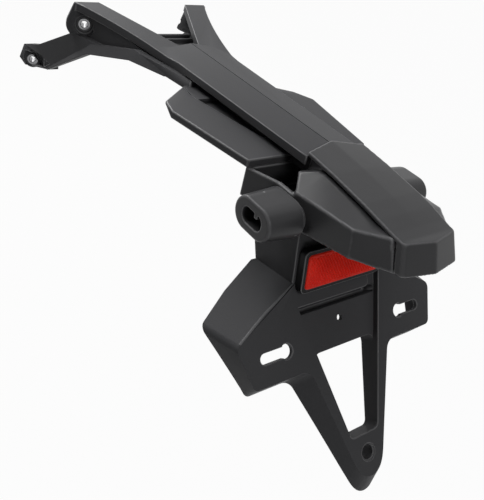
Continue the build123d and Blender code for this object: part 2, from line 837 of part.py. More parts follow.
def strut_web():
    band = strut_band(strut_web_in, strut_web_in + strut_web_t)
    under_arm = arm_tip_z - skirt - 1.0
    side = [
        (arm_bend_y - 26, beam_low() - 1.5),
        (arm_tip_y - 8, under_arm),
        (arm_tip_y + 4, under_arm - 10),
        (arm_tip_y + 8, strut_end_z + 31),
        (arm_bend_y + 30, beam_low() - 15),
        (arm_bend_y - 20, beam_low() - 4),
    ]
    return plan_prism(band, 0, ridge_z + 20) & side_prism(side, 0, 120)


def make_strut():
    strut = plan_prism(strut_plan(0, strut_t), 0, ridge_z)
    strut &= side_prism(strut_profile(0), 0, 120)
    hollow = plan_prism(strut_plan(strut_wall, 3 * strut_t), 0, ridge_z)
    hollow &= side_prism(strut_profile(strut_wall, 4 * strut_wall), 0, 120)
    keep = Box(200, 70, 200)
    hollow -= Pos(0, strut_end_y, 50) * keep
    hollow -= Pos(0, strut_root_y, 90) * Box(200, 2 * strut_t, 200)
    strut -= hollow
    strut += strut_flange_bar()
    upper, lower = mount_places()
    strut += strut_web() - boss_bores(upper, pocket_d, upper_pocket_run)
    strut += extrude(mount_axis_plane(*lower) * Circle(lower_boss_r), collar_len + 8)
    strut -= boss_bores(lower, lower_pocket_d, lower_pocket_run)
    strut -= end_recess(lower)
    strut -= end_cut(strut_end_y, strut_end_z)
    return max(strut.solids(), key=lambda solid: solid.volume)


def carrier_roof(drop):
    roof = section(roof_profile(cover_wall + drop, body_top - 20), carrier_rear_y - 5)
    return extrude(roof, -(web_front_y - carrier_rear_y + 10))


def make_web(front):
    root_y = front - 6 * web_t
    half = [(0, root_y), (carrier_half, root_y), (web_front_half, web_front_y), (0, web_front_y)]
    floor_z = web_z - web_drop
    web = plan_prism(both_sides(half), floor_z - web_t, floor_z)
    splay = (web_front_half - carrier_half) / (web_front_y - root_y)
    for back, thick in ((0, web_t), (web_rib_back, web_rib_t)):
        wide = 2 * (web_front_half - splay * (back + thick))
        place = (0, web_front_y - back - thick / 2, floor_z + web_drop / 2)
        web += Pos(*place) * Box(wide, thick, web_drop)
    return web


def make_lower_carrier():
    front = crotch_y - cover_wall
    length = front - carrier_rear_y
    middle = carrier_rear_y + length / 2
    height = ridge_z - body_top
    box = Pos(0, middle, body_top + height / 2) * Box(2 * carrier_half, length, height)
    body = box & carrier_roof(0)
    inner_half = carrier_half - carrier_wall
    inner = Pos(0, middle, body_top) * Box(2 * inner_half, length - 2 * carrier_wall, 2 * height)
    body -= inner & carrier_roof(carrier_wall)
    strut = make_strut()
    body = body + strut + mirrored(strut)
    body = body + make_web(front)
    body = body - make_top_cover() - make_hood_cap()
    return max(body.solids(), key=lambda solid: solid.volume)


# Wings

def wing_plan(inset):
    return [
        (carrier_half + inset, wing_rear_y + inset),
        (wing_rear_half - inset, wing_rear_y + inset),
        (wing_front_half - 1.1 * inset, wing_front_y - 0.5 * inset),
        (wing_nose_half + 0.5 * inset, wing_nose_y - 1.2 * inset),
        (wing_slot_half + inset, wing_slot_y),
        (carrier_half + inset, wing_slot_y - wing_slot_cant),
    ]


def wing_lip():
    foot = [(wing_front_half, wing_front_y), (wing_nose_half, wing_nose_y)]
    far_z = wing_z - wing_lip_fall
    far = [(x - wing_lip_in, y + wing_lip_run) for x, y in foot]
    faces = []
    for (outer, inner), low, high in ((foot, body_top, wing_z), (far, far_z - wing_wall, far_z)):
        corners = [(*outer, low), (*outer, high), (*inner, high), (*inner, low)]
        faces.append(Face(Wire.make_polygon(corners)))
    return loft(faces, ruled=True)


def make_wing():
    shelf = plan_prism(wing_plan(0), body_top, wing_z)
    shelf -= plan_prism(wing_plan(wing_wall), body_top - 1, wing_z - wing_wall)
    floor_rear = wing_slot_y - wing_slot_cant - wing_floor_t
    floor = [
        (carrier_half, floor_rear),
        (wing_slot_half + wing_floor_lap, floor_rear),
        (wing_nose_half + wing_floor_lap, wing_nose_y - wing_floor_lap),
        (carrier_half, wing_nose_y - wing_floor_lap),
    ]
    return shelf + wing_lip() + plan_prism(floor, body_top, body_top + wing_floor_t)


# Hood

def cap_stations():
    front = (seam_y + 1, cap_front_z, cap_half)
    rear = (cap_rear_y, cap_rear_z, cap_rear_half)
    shape = ((0.36, 0.24), (0.66, 0.52), (0.80, 0.70), (0.92, 0.90))
    stations = [front]
    for along, fall in shape:
        y = front[0] + along * (rear[0] - front[0])
        z = front[1] + fall * (rear[1] - front[1])
        half = cap_half if along < 0.85 else (cap_half + cap_rear_half) / 2
        stations.append((y, z, half))
    stations.append(rear)
    return stations


def cap_run(wall, band):
    faces = []
    for y, z, half in cap_stations():
        side = half - wall
        top = z - wall
        crown = cap_crown * (y - cap_rear_y) / (seam_y - cap_rear_y)
        points = [(side, z - band), (side, top), (0, top + crown), (-side, top), (-side, z - band)]
        faces.append(section(points, y))
    return loft(faces, ruled=True)


def cap_tail_face(drop, inset, open_by):
    share = drop / (cap_rear_z - cap_foot_z)
    half = cap_rear_half + share * (cap_foot_half - cap_rear_half) - inset
    corner = cap_rear_y - 2 - share * cap_foot_back + inset
    side = corner + cap_corner_r + open_by
    points = [(half, side), (half, corner), (0, corner - cap_bulge), (-half, corner), (-half, side)]
    face = outline(points)
    rear = [v for v in face.vertices() if abs(v.Y - corner) < 0.01]
    face = fillet(rear, cap_corner_r - 0.6)
    return Plane.XY.offset(cap_rear_z - drop) * face


def make_hood_cap():
    cap = cap_run(0, cap_band)
    drop = cap_rear_z - cap_foot_z
    tail = [cap_tail_face(0, 0, cap_side_run), cap_tail_face(drop, 0, cap_side_run)]
    cap += loft(tail, ruled=True)
    cap -= cap_run(cap_wall, cap_band + 2)
    open_by = cap_side_run + 4
    hollow = [cap_tail_face(cap_wall, cap_wall, open_by), cap_tail_face(drop + 3, cap_wall, open_by)]
    cap -= loft(hollow, ruled=True)
    return cap & seam_wedge()


def make_collar(place):
    plane = mount_axis_plane(*place)
    ring = extrude(plane * (Circle(collar_od / 2) - Circle(collar_id / 2)), collar_len)
    rims = ring.edges().filter_by(GeomType.CIRCLE)
    return chamfer(rims, collar_chamfer)


def build_nodes():
    upper, lower = mount_places()
    wing = make_wing()
    stub = make_indicator_stub()
    upper_collar = make_collar(upper)
    lower_collar = make_collar(lower)
    nodes = {
        "top_cover": make_top_cover(),
        "lower_carrier": make_lower_carrier(),
        "hood_cap": make_hood_cap(),
        "tail_body": make_tail_body(),
        "plate_bracket": make_plate_bracket(),
        "reflector_housing": make_reflector_housing(),
        "reflector_lens": make_reflector_lens(),
    }
    pairs = {
        "wing": wing,
        "indicator_stub": stub,
        "upper_collar": upper_collar,
        "lower_collar": lower_collar,
    }
    for name, shape in pairs.items():
        nodes[name + "_right"] = shape
        nodes[name + "_left"] = mirrored(shape)
    for number, (x, y) in enumerate(bolt_places(), start=1):
        nodes[f"bracket_bolt_{number}"] = make_bracket_bolt(x, y)
        nodes[f"bracket_nut_{number}"] = make_bracket_nut(x, y)
    return nodes


if __name__ == "__main__":
    for name, shape in build_nodes().items():
        shape.label = name
        export_step(shape, f"parts/{name}.step")
        print(name, len(shape.solids()), round(shape.volume))
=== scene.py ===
import math
import bmesh
import bpy
import numpy as np
from mathutils import Matrix, Vector


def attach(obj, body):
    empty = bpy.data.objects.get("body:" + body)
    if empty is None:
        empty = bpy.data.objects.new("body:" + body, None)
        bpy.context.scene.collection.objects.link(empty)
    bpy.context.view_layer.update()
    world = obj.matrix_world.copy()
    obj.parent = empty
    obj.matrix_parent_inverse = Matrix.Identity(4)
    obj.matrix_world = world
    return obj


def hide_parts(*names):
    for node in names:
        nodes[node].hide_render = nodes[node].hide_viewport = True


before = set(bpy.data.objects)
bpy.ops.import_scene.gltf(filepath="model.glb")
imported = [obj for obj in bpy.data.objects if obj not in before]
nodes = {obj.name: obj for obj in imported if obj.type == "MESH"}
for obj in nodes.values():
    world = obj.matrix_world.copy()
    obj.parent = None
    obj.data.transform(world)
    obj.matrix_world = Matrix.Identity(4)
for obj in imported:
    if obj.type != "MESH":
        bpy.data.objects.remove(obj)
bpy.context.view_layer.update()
print("frame loaded:", len(nodes), "solids")


def addNode(tree, kind, **values):
    node = tree.nodes.new(kind)
    for name, value in values.items():
        if name in node.inputs.keys():
            node.inputs[name].default_value = value
        else:
            setattr(node, name, value)
    return node


def mathNode(tree, operation, a, b=None, clamp=False):
    node = addNode(tree, "ShaderNodeMath", operation=operation, use_clamp=clamp)
    for socket, value in zip(node.inputs, (a, b)):
        if value is None:
            continue
        if isinstance(value, (int, float)):
            socket.default_value = value
        else:
            tree.links.new(value, socket)
    return node.outputs[0]


def mixColour(tree, factor, first, second):
    node = addNode(tree, "ShaderNodeMix", data_type="RGBA")
    tree.links.new(factor, node.inputs[0])
    for socket, value in ((node.inputs[6], first), (node.inputs[7], second)):
        if isinstance(value, tuple):
            socket.default_value = (*value, 1.0)
        else:
            tree.links.new(value, socket)
    return node.outputs[2]


mouldGrain = {
    "grainScale": 1500.0,
    "driftScale": 18.0,
    "fineDetail": 2.5,
    "fineRough": 0.62,
    "pebbleScale": 0.8,     # scale of the pebbles against that of the fine grain
    "pebbleSmooth": 0.6,
    "pebbleShare": 0.7,
    "driftDetail": 3.0,
    "driftRough": 0.5,
}


# fine mould grain and slow tone drift, shared by every plastic
def makeGrainGroup(settings):
    group = bpy.data.node_groups.new("mouldGrain", "ShaderNodeTree")
    face = group.interface
    scale = face.new_socket("Grain Scale", in_out="INPUT", socket_type="NodeSocketFloat")
    scale.default_value = settings["grainScale"]
    drift = face.new_socket("Drift Scale", in_out="INPUT", socket_type="NodeSocketFloat")
    drift.default_value = settings["driftScale"]
    face.new_socket("Grain", in_out="OUTPUT", socket_type="NodeSocketFloat")
    face.new_socket("Drift", in_out="OUTPUT", socket_type="NodeSocketFloat")
    inlet = group.nodes.new("NodeGroupInput")
    outlet = group.nodes.new("NodeGroupOutput")
    place = group.nodes.new("ShaderNodeTexCoord")
    fine = addNode(group, "ShaderNodeTexNoise",
                   Detail=settings["fineDetail"], Roughness=settings["fineRough"])
    pebble = addNode(group, "ShaderNodeTexVoronoi",
                     feature="SMOOTH_F1", Smoothness=settings["pebbleSmooth"])
    slow = addNode(group, "ShaderNodeTexNoise",
                   Detail=settings["driftDetail"], Roughness=settings["driftRough"])
    links = group.links
    for texture in (fine, pebble, slow):
        links.new(place.outputs["Object"], texture.inputs["Vector"])
    links.new(inlet.outputs["Grain Scale"], fine.inputs["Scale"])
    pebbleScale = mathNode(group, "MULTIPLY", inlet.outputs["Grain Scale"], settings["pebbleScale"])
    links.new(pebbleScale, pebble.inputs["Scale"])
    links.new(inlet.outputs["Drift Scale"], slow.inputs["Scale"])
    pebbles = mathNode(group, "MULTIPLY", pebble.outputs[0], settings["pebbleShare"])
    both = mathNode(group, "ADD", fine.outputs[0], pebbles)
    links.new(both, outlet.inputs["Grain"])
    links.new(slow.outputs[0], outlet.inputs["Drift"])
    return group


# settings of the painted edge highlight mask: where it starts and how fast it rises
paintedEdgeHighlight = {"start": 0.506, "gain": 12.0}


# a mask of outward bends, where a painted highlight makes the plastic lighter
def makeEdgeHighlightGroup(settings):
    group = bpy.data.node_groups.new("paintedEdgeHighlight", "ShaderNodeTree")
    face = group.interface
    start = face.new_socket("Start", in_out="INPUT", socket_type="NodeSocketFloat")
    start.default_value = settings["start"]
    gain = face.new_socket("Gain", in_out="INPUT", socket_type="NodeSocketFloat")
    gain.default_value = settings["gain"]
    face.new_socket("Mask", in_out="OUTPUT", socket_type="NodeSocketFloat")
    inlet = group.nodes.new("NodeGroupInput")
    outlet = group.nodes.new("NodeGroupOutput")
    here = group.nodes.new("ShaderNodeNewGeometry")
    above = mathNode(group, "SUBTRACT", here.outputs["Pointiness"], inlet.outputs["Start"])
    mask = mathNode(group, "MULTIPLY", above, inlet.outputs["Gain"], clamp=True)
    group.links.new(mask, outlet.inputs["Mask"])
    return group


grainGroup = makeGrainGroup(mouldGrain)
edgeHighlightGroup = makeEdgeHighlightGroup(paintedEdgeHighlight)


def placeGroup(tree, group, values):
    node = tree.nodes.new("ShaderNodeGroup")
    node.node_tree = group
    for name, value in values.items():
        node.inputs[name].default_value = value
    return node


mouldedPlastic = {
    "dark": (0.066, 0.066, 0.069),
    "light": (0.084, 0.084, 0.088),
    # colour of the painted highlight on outward bends, used only where the highlight gain is above
    # 0
    "edge": (0.200, 0.200, 0.206),
    "highlightGain": 0.0,
    "grainScale": 1500.0,
    "driftScale": 16.0,
    "grainDepth": 0.10,
    "grainDistance": 0.0004,
    "roughLow": 0.42,
    "roughHigh": 0.54,
    "specular": 0.06,
}


def makePlastic(name, settings):
    material = bpy.data.materials.new(name)
    material.use_nodes = True
    tree = material.node_tree
    shader = tree.nodes["Principled BSDF"]
    sizes = {"Grain Scale": settings["grainScale"], "Drift Scale": settings["driftScale"]}
    grain = placeGroup(tree, grainGroup, sizes)
    body = mixColour(tree, grain.outputs["Drift"], settings["dark"], settings["light"])
    # painted highlight: outward bends are mixed towards the lighter edge colour
    if settings["highlightGain"]:
        edge = placeGroup(tree, edgeHighlightGroup, {"Gain": settings["highlightGain"]})
        body = mixColour(tree, edge.outputs["Mask"], body, settings["edge"])
    tree.links.new(body, shader.inputs["Base Color"])
    span = settings["roughHigh"] - settings["roughLow"]
    rough = mathNode(tree, "MULTIPLY", grain.outputs["Drift"], span)
    tree.links.new(mathNode(tree, "ADD", rough, settings["roughLow"]), shader.inputs["Roughness"])
    bump = addNode(tree, "ShaderNodeBump",
                   Strength=settings["grainDepth"], Distance=settings["grainDistance"])
    tree.links.new(grain.outputs["Grain"], bump.inputs["Height"])
    tree.links.new(bump.outputs["Normal"], shader.inputs["Normal"])
    shader.inputs["Specular IOR Level"].default_value = settings["specular"]
    return material


# the other plastics differ from the moulded one in these values
# the hood plastic carries the painted edge highlight, with a strong gain
hoodPlastic = dict(mouldedPlastic, dark=(0.042, 0.042, 0.044), light=(0.056, 0.056, 0.059),
                   highlightGain=30.0, grainDepth=0.04, roughLow=0.28, roughHigh=0.36, specular=0.17)
# a lighter plastic for the faces of the rounded edges: a painted highlight along every edge
highlightEdgePlastic = dict(mouldedPlastic, dark=(0.115, 0.115, 0.119), light=(0.145, 0.145, 0.149),
                   grainDepth=0.03, roughLow=0.28, roughHigh=0.34, specular=0.25)
housingPlastic = dict(mouldedPlastic, dark=(0.016, 0.016, 0.017), light=(0.026, 0.026, 0.027),
                      grainDepth=0.03, roughLow=0.25, roughHigh=0.35)


turnedMetal = {
    "bright": (0.28, 0.28, 0.285),
    "dull": (0.16, 0.16, 0.165),
    "markScale": 900.0,
    "markDetail": 3.0,
    "markDepth": 0.12,
    "markDistance": 0.0002,
    "rough": 0.30,
}
platedSteel = dict(turnedMetal, bright=(0.5, 0.5, 0.51), dull=(0.38, 0.38, 0.39))


def makeMetal(name, settings):
    material = bpy.data.materials.new(name)
    material.use_nodes = True
    tree = material.node_tree
    shader = tree.nodes["Principled BSDF"]
    place = tree.nodes.new("ShaderNodeTexCoord")
    marks = addNode(tree, "ShaderNodeTexNoise",
                    Scale=settings["markScale"], Detail=settings["markDetail"])
    tree.links.new(place.outputs["Object"], marks.inputs["Vector"])
    tone = mixColour(tree, marks.outputs[0], settings["dull"], settings["bright"])
    tree.links.new(tone, shader.inputs["Base Color"])
    bump = addNode(tree, "ShaderNodeBump",
                   Strength=settings["markDepth"], Distance=settings["markDistance"])
    tree.links.new(marks.outputs[0], bump.inputs["Height"])
    tree.links.new(bump.outputs["Normal"], shader.inputs["Normal"])
    shader.inputs["Metallic"].default_value = 1.0
    shader.inputs["Roughness"].default_value = settings["rough"]
    return material


redLens = {
    "deep": (0.66, 0.008, 0.005),
    "bright": (0.98, 0.040, 0.020),
    "cloudScale": 60.0,
    "cloudDetail": 4.0,
    "rough": 0.34,
    "specular": 0.08,
    "paintedReturnGlow": 0.09,       # painted glow standing in for the light that the prisms send back, as a share of white
}


def makeRedLens(name, settings):
    material = bpy.data.materials.new(name)
    material.use_nodes = True
    tree = material.node_tree
    shader = tree.nodes["Principled BSDF"]
    place = tree.nodes.new("ShaderNodeTexCoord")
    clouds = addNode(tree, "ShaderNodeTexNoise",
                     Scale=settings["cloudScale"], Detail=settings["cloudDetail"])
    tree.links.new(place.outputs["Object"], clouds.inputs["Vector"])
    tone = mixColour(tree, clouds.outputs[0], settings["deep"], settings["bright"])
    tree.links.new(tone, shader.inputs["Base Color"])
    shader.inputs["Roughness"].default_value = settings["rough"]
    shader.inputs["Specular IOR Level"].default_value = settings["specular"]
    # painted glow: the lens shines a little in its bright red, in place of the light its prisms
    # send back
    shader.inputs["Emission Color"].default_value = (*settings["bright"], 1.0)
    shader.inputs["Emission Strength"].default_value = settings["paintedReturnGlow"]
    return material


bodyMaterial = makePlastic("mouldedPlastic", mouldedPlastic)
hoodMaterial = makePlastic("hoodPlastic", hoodPlastic)
housingMaterial = makePlastic("reflectorHousingPlastic", housingPlastic)
highlightEdgeMaterial = makePlastic("paintedEdgeHighlightPlastic", highlightEdgePlastic)
collarMaterial = makeMetal("turnedCollarMetal", turnedMetal)
fixingMaterial = makeMetal("platedFixingSteel", platedSteel)
lensMaterial = makeRedLens("redReflectorLens", redLens)
print("materials made")


# mouldings whose edges are rounded, with the width of the rounding in metres
mouldings = {
    "top_cover": {"finish": bodyMaterial, "slot": "body_plastic", "width": 0.0012},
    "lower_carrier": {"finish": bodyMaterial, "slot": "body_plastic", "width": 0.0010},
    "plate_bracket": {"finish": bodyMaterial, "slot": "body_plastic", "width": 0.0016},
    "reflector_housing": {"finish": housingMaterial, "slot": "black_plastic", "width": 0.0008},
    "wing_left": {"finish": bodyMaterial, "slot": "body_plastic", "width": 0.0012},
    "wing_right": {"finish": bodyMaterial, "slot": "body_plastic", "width": 0.0012},
}
rounding = {
    "weld": 0.00002,
    "flatAngle": 1.0,
    "sharpAngle": 28.0,
    "roomShare": 0.42,      # the rounding takes at most this much of the face beside it
    "leastShare": 0.2,      # narrower roundings than this share are left sharp
    "slantAngle": 30.0,     # and so is a run of edges that another edge meets at less than this
    "segments": 3,
    "openAngle": 150.0,     # corners wider than this don't limit the rounding
    "straightAngle": 140.0,     # edges that meet wider than this run on into each other
    "places": (0.15, 0.5, 0.85),    # where along an edge the room beside it is measured
    "besideSlope": 0.5,     # least sideways distance, per length ahead, that counts as beside
    "noLimit": 1.0,         # metres, wider than any face
}


# each face gets the number of the flat region that it lies in
def flatRegions(shell):
    limit = math.radians(rounding["flatAngle"])
    region = {}
    for start in shell.faces:
        if start.index in region:
            continue
        region[start.index] = start.index
        waiting = [start]
        while waiting:
            face = waiting.pop()
            for edge in face.edges:
                if len(edge.link_faces) != 2 or edge.calc_face_angle(0.0) > limit:
                    continue
                for other in edge.link_faces:
                    if other.index not in region:
                        region[other.index] = start.index
                        waiting.append(other)
    return region


# the edges round each flat region, as pairs of vertex numbers
def regionBorders(shell, region):
    limit = math.radians(rounding["flatAngle"])
    borders = {}
    for edge in shell.edges:
        if len(edge.link_faces) == 2 and edge.calc_face_angle(0.0) <= limit:
            continue
        ends = [vert.index for vert in edge.verts]
        for face in edge.link_faces:
            borders.setdefault(region[face.index], []).append(ends)
    return {key: np.array(rows) for key, rows in borders.items()}


# how wide the flat face beside an edge is, measured across the edge
def roomBeside(edge, rows, points):
    ends = [vert.index for vert in edge.verts]
    rows = rows[~np.isin(rows, ends).any(axis=1)]
    if len(rows) == 0:
        return rounding["noLimit"]
    along = points[ends[1]] - points[ends[0]]
    along = along / max(np.linalg.norm(along), 1e-9)
    first = points[rows[:, 0]]
    run = points[rows[:, 1]] - first
    lengths = np.maximum((run * run).sum(axis=1), 1e-12)
    room = rounding["noLimit"]
    for share in rounding["places"]:
        here = points[ends[0]] * (1 - share) + points[ends[1]] * share
        step = np.clip(((here - first) * run).sum(axis=1) / lengths, 0.0, 1.0)
        gap = first + run * step[:, None] - here
        ahead = gap @ along
        across = np.linalg.norm(gap - ahead[:, None] * along, axis=1)
        beside = across > rounding["besideSlope"] * np.abs(ahead)
        if beside.any():
            room = min(room, across[beside].min())
    return room


# the widest rounding that the corners of the faces beside each edge leave room for
def limitAtCorners(shell, widths):
    share = rounding["roomShare"]
    for face in shell.faces:
        for loop in face.loops:
            pair = (loop.edge, loop.link_loop_prev.edge)
            angle = loop.calc_angle()
            if angle > math.radians(rounding["openAngle"]):
                continue
            for edge, other in (pair, pair[::-1]):
                if edge.index not in widths:
                    continue
                if other.index in widths:
                    room = min(edge.calc_length(), other.calc_length()) * math.tan(angle / 2)
                elif angle < math.radians(rounding["slantAngle"]):
                    room = 0.0
                else:
                    room = other.calc_length() * math.sin(angle)
                widths[edge.index] = min(widths[edge.index], share * room)


# edges that run on into each other share one width, so the rounding has no steps
def evenChains(shell, widths):
    leader = {key: key for key in widths}

    def head(key):
        while leader[key] != key:
            key = leader[key]
        return key

    for vert in shell.verts:
        rows = [edge for edge in vert.link_edges if edge.index in widths]
        for place, edge in enumerate(rows):
            first = edge.other_vert(vert).co - vert.co
            for other in rows[place + 1:]:
                second = other.other_vert(vert).co - vert.co
                if first.angle(second, 0.0) > math.radians(rounding["straightAngle"]):
                    leader[head(edge.index)] = head(other.index)
    least = {}
    for key, width in widths.items():
        least[head(key)] = min(width, least.get(head(key), rounding["noLimit"]))
    return {key: least[head(key)] for key in widths}


# sharp edges with room for it get their share of the full rounding width as a weight
def weighEdges(shell, width):
    layer = shell.edges.layers.float.new("bevel_weight_edge")
    limit = math.radians(rounding["sharpAngle"])
    region = flatRegions(shell)
    borders = regionBorders(shell, region)
    points = np.array([vert.co[:] for vert in shell.verts])
    widths = {}
    for edge in shell.edges:
        if len(edge.link_faces) != 2 or edge.calc_face_angle(0.0) < limit:
            continue
        edge.smooth = False
        rooms = [roomBeside(edge, borders[region[face.index]], points) for face in edge.link_faces]
        widths[edge.index] = min(width, rounding["roomShare"] * min(rooms))
    limitAtCorners(shell, widths)
    least = rounding["leastShare"] * width
    widths = {key: room for key, room in widths.items() if room == 0.0 or room > least}
    widths = evenChains(shell, widths)
    shell.edges.ensure_lookup_table()
    for key, room in widths.items():
        shell.edges[key][layer] = room / width
        shell.edges[key].smooth = room > 0.0


def makeMoulding(name, settings):
    width = settings["width"]
    mesh = nodes[name].data.copy()
    mesh.name = name + "Moulding"
    shell = bmesh.new()
    shell.from_mesh(mesh)
    bmesh.ops.remove_doubles(shell, verts=shell.verts, dist=rounding["weld"])
    bmesh.ops.dissolve_limit(shell, angle_limit=math.radians(rounding["flatAngle"]),
                             verts=shell.verts, edges=shell.edges)
    for face in shell.faces:
        face.smooth = True
    shell.verts.index_update()
    shell.edges.index_update()
    shell.faces.index_update()
    weighEdges(shell, width)
    shell.to_mesh(mesh)
    shell.free()
    mesh.materials.clear()
    mesh.materials.append(settings["finish"])
    # the rounded edge faces take the lighter plastic, a painted highlight
    mesh.materials.append(highlightEdgeMaterial)
    piece = bpy.data.objects.new(name + "Moulding", mesh)
    bpy.context.collection.objects.link(piece)
    bevel = piece.modifiers.new("roundedEdges", "BEVEL")
    bevel.width = width
    bevel.segments = rounding["segments"]
    bevel.limit_method = "WEIGHT"
    bevel.use_clamp_overlap = False
    bevel.loop_slide = False
    bevel.material = 1
    normals = piece.modifiers.new("faceNormals", "WEIGHTED_NORMAL")
    normals.keep_sharp = True
    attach(piece, "root")
    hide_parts(name)


for name, settings in mouldings.items():
    makeMoulding(name, settings)
print("mouldings rounded")


# the crowned hood, the tail body and the stubs: a fine even skin whose edges are worn round
softMouldings = {
    "hood_cap": {"cell": 0.00052, "passes": 22, "wear": 0.5},
    "tail_body": {"cell": 0.00080, "passes": 7, "wear": 0.5},
    "indicator_stub_left": {"cell": 0.00050, "passes": 9, "wear": 0.5},
    "indicator_stub_right": {"cell": 0.00050, "passes": 9, "wear": 0.5},
}


def makeSoftMoulding(name, settings):
    draft = bpy.data.objects.new(name + "Draft", nodes[name].data.copy())
    bpy.context.collection.objects.link(draft)
    weld = draft.modifiers.new("weld", "WELD")
    weld.merge_threshold = rounding["weld"]
    skin = draft.modifiers.new("skin", "REMESH")
    skin.mode = "VOXEL"
    skin.voxel_size = settings["cell"]
    skin.use_smooth_shade = True
    worn = draft.modifiers.new("worn", "SMOOTH")
    worn.factor = settings["wear"]
    worn.iterations = settings["passes"]
    graph = bpy.context.evaluated_depsgraph_get()
    mesh = bpy.data.meshes.new_from_object(draft.evaluated_get(graph))
    bpy.data.objects.remove(draft)
    mesh.name = name + "Moulding"
    mesh.materials.clear()
    mesh.materials.append(hoodMaterial)
    piece = bpy.data.objects.new(name + "Moulding", mesh)
    bpy.context.collection.objects.link(piece)
    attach(piece, "root")
    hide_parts(name)
    print(name, "skin:", len(mesh.polygons), "faces")


for name, settings in softMouldings.items():
    makeSoftMoulding(name, settings)


# the wings' front lips run on under the beam to the carrier
wingRoots = {
    "outer": ((0.0370, 0.1630), (0.0312, 0.1892)),
    "inner": ((0.0162, 0.1630), (0.0162, 0.1905)),
    "top": (0.0929, 0.0915),
    "thickness": 0.0022,
    "rounding": 0.0007,
}


def makeWingRoot(name, side):
    shell = bmesh.new()
    for edge in (wingRoots["outer"], wingRoots["inner"]):
        for (x, y), top in zip(edge, wingRoots["top"]):
            shell.verts.new((side * x, y, top))
            shell.verts.new((side * x, y, top - wingRoots["thickness"]))
    bmesh.ops.convex_hull(shell, input=shell.verts)
    bmesh.ops.recalc_face_normals(shell, faces=shell.faces)
    mesh = bpy.data.meshes.new(name)
    shell.to_mesh(mesh)
    shell.free()
    mesh.materials.append(bodyMaterial)
    piece = bpy.data.objects.new(name, mesh)
    bpy.context.collection.objects.link(piece)
    bevel = piece.modifiers.new("roundedEdges", "BEVEL")
    bevel.width = wingRoots["rounding"]
    bevel.segments = rounding["segments"]
    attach(piece, "root")


makeWingRoot("wingRootLeft", -1)
makeWingRoot("wingRootRight", 1)
print("wing roots made")


# collars, lens, bolts and nuts keep their own mesh
def softenSolid(solid):
    weld = solid.modifiers.new("weld", "WELD")
    weld.merge_threshold = rounding["weld"]
    flat = solid.modifiers.new("flat", "DECIMATE")
    flat.decimate_type = "DISSOLVE"
    flat.angle_limit = math.radians(rounding["flatAngle"])
    normals = solid.modifiers.new("normals", "WEIGHTED_NORMAL")
    normals.keep_sharp = True


for name, solid in nodes.items():
    if name in mouldings or name in softMouldings:
        continue
    if "collar" in name:
        material = collarMaterial
    elif "lens" in name:
        material = lensMaterial
    else:
        material = fixingMaterial
    for place in solid.material_slots:
        place.material = material
    softenSolid(solid)
print("solids dressed")


# rows of low four-sided prisms on the reflector's face
lensPrisms = {
    "pitch": 0.0019,
    "height": 0.00080,
    "halfWidth": 0.0312,
    "halfHeight": 0.0102,
    "turn": math.radians(32),
    "middle": (0.0, 0.0191866, 0.0417929),
    "lean": math.radians(90 - 11),
    "sunk": 0.00005,
    "gridSpan": 2.4,        # side of the untrimmed grid in half widths
    "sides": 4,
    "radiusShare": 0.7,     # foot radius per pitch, so that neighbours meet
    "squareTurn": math.radians(45),
}


